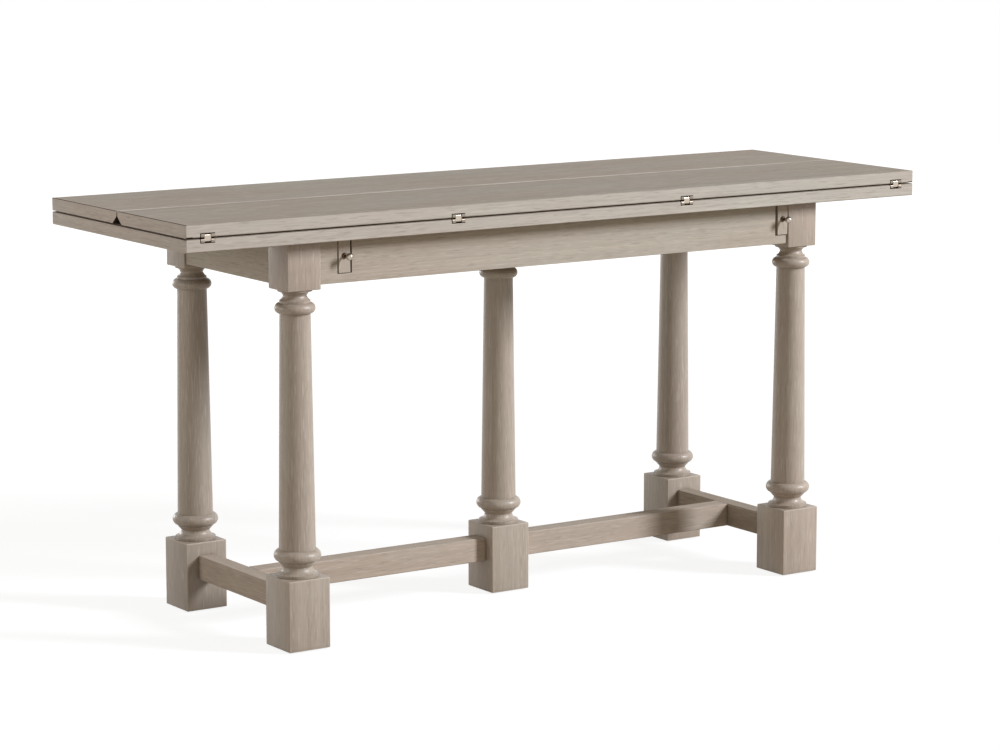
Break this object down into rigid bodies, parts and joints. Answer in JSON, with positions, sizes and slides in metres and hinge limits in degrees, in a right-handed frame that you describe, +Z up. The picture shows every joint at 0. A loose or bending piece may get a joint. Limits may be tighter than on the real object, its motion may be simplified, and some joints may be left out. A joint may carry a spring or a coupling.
{
  "type": "flip-top console table",
  "caption": "Console table whose split upper top flips out on flush hinges into a wide table, carried by pull-out supports, on turned legs with square foot blocks and low stretchers.",
  "frame": {"origin": "on the floor, under the middle of the table", "axes": "+X along the table, to the right seen from the front; +Y to the back; +Z up"},
  "size_m": [1.57, 0.496, 0.762],
  "materials": {
    "washed_oak": "matte washed oak",
    "brushed_nickel": "satin nickel",
    "glide_plastic": "moulded plastic",
    "bumper_rubber": "soft rubber"
  },
  "bodies": {
    "frame": {"back_apron": "washed_oak", "back_hinge_base_pins": "brushed_nickel", "back_hinge_base_plates": "brushed_nickel", "back_hinge_base_screws": "brushed_nickel", "back_left_cleat": "washed_oak", "back_left_leg": "washed_oak", "back_right_cleat": "washed_oak", "back_right_leg": "washed_oak", "centre_cross_rail": "washed_oak", "centre_leg": "washed_oak", "cleat_screws": "brushed_nickel", "fixed_top": "washed_oak", "foot_glides": "glide_plastic", "front_apron": "washed_oak", "front_hinge_base_pins": "brushed_nickel", "front_hinge_base_plates": "brushed_nickel", "front_hinge_base_screws": "brushed_nickel", "front_left_cleat": "washed_oak", "front_left_leg": "washed_oak", "front_right_cleat": "washed_oak", "front_right_leg": "washed_oak", "leaf_bumpers": "bumper_rubber", "left_divider_strip": "washed_oak", "left_end_apron": "washed_oak", "left_end_stretcher": "washed_oak", "left_guide_strip": "washed_oak", "left_long_stretcher": "washed_oak", "left_loper_runner": "washed_oak", "right_divider_strip": "washed_oak", "right_end_apron": "washed_oak", "right_end_stretcher": "washed_oak", "right_guide_strip": "washed_oak", "right_long_stretcher": "washed_oak", "right_loper_runner": "washed_oak"},
    "front_links": {"front_hinge_links": "brushed_nickel"},
    "front_flap": {"front_leaf": "washed_oak", "front_hinge_leaf_plates": "brushed_nickel", "front_hinge_leaf_pins": "brushed_nickel", "front_hinge_leaf_screws": "brushed_nickel"},
    "back_links": {"back_hinge_links": "brushed_nickel"},
    "back_flap": {"back_leaf": "washed_oak", "back_hinge_leaf_plates": "brushed_nickel", "back_hinge_leaf_pins": "brushed_nickel", "back_hinge_leaf_screws": "brushed_nickel"},
    "front_left_support": {"front_left_loper": "washed_oak", "front_left_knob": "brushed_nickel", "front_left_stop_peg": "washed_oak"},
    "front_right_support": {"front_right_loper": "washed_oak", "front_right_knob": "brushed_nickel", "front_right_stop_peg": "washed_oak"},
    "back_right_support": {"back_right_loper": "washed_oak", "back_right_knob": "brushed_nickel", "back_right_stop_peg": "washed_oak"},
    "back_left_support": {"back_left_loper": "washed_oak", "back_left_knob": "brushed_nickel", "back_left_stop_peg": "washed_oak"}
  },
  "joints": [
    {"name": "front_link_swing", "type": "hinge", "parent": "frame", "child": "front_links", "pos_m": [0, -0.2442, 0.7345], "axis": [1, 0, 0], "range_deg": [0, 90]},
    {"name": "front_leaf_fold", "type": "hinge", "parent": "front_links", "child": "front_flap", "pos_m": [0, -0.2442, 0.7425], "axis": [1, 0, 0], "range_deg": [0, 90]},
    {"name": "back_link_swing", "type": "hinge", "parent": "frame", "child": "back_links", "pos_m": [0, 0.2442, 0.7345], "axis": [-1, 0, 0], "range_deg": [0, 90]},
    {"name": "back_leaf_fold", "type": "hinge", "parent": "back_links", "child": "back_flap", "pos_m": [0, 0.2442, 0.7425], "axis": [-1, 0, 0], "range_deg": [0, 90]},
    {"name": "front_left_support_slide", "type": "slide", "parent": "frame", "child": "front_left_support", "axis": [0, -1, 0], "range_m": [0, 0.23]},
    {"name": "front_right_support_slide", "type": "slide", "parent": "frame", "child": "front_right_support", "axis": [0, -1, 0], "range_m": [0, 0.23]},
    {"name": "back_right_support_slide", "type": "slide", "parent": "frame", "child": "back_right_support", "axis": [0, 1, 0], "range_m": [0, 0.23]},
    {"name": "back_left_support_slide", "type": "slide", "parent": "frame", "child": "back_left_support", "axis": [0, 1, 0], "range_m": [0, 0.23]}
  ],
  "couplings": [
    {"joint": "front_link_swing", "follows": "front_leaf_fold", "ratio": 1},
    {"joint": "back_link_swing", "follows": "back_leaf_fold", "ratio": 1}
  ]
}
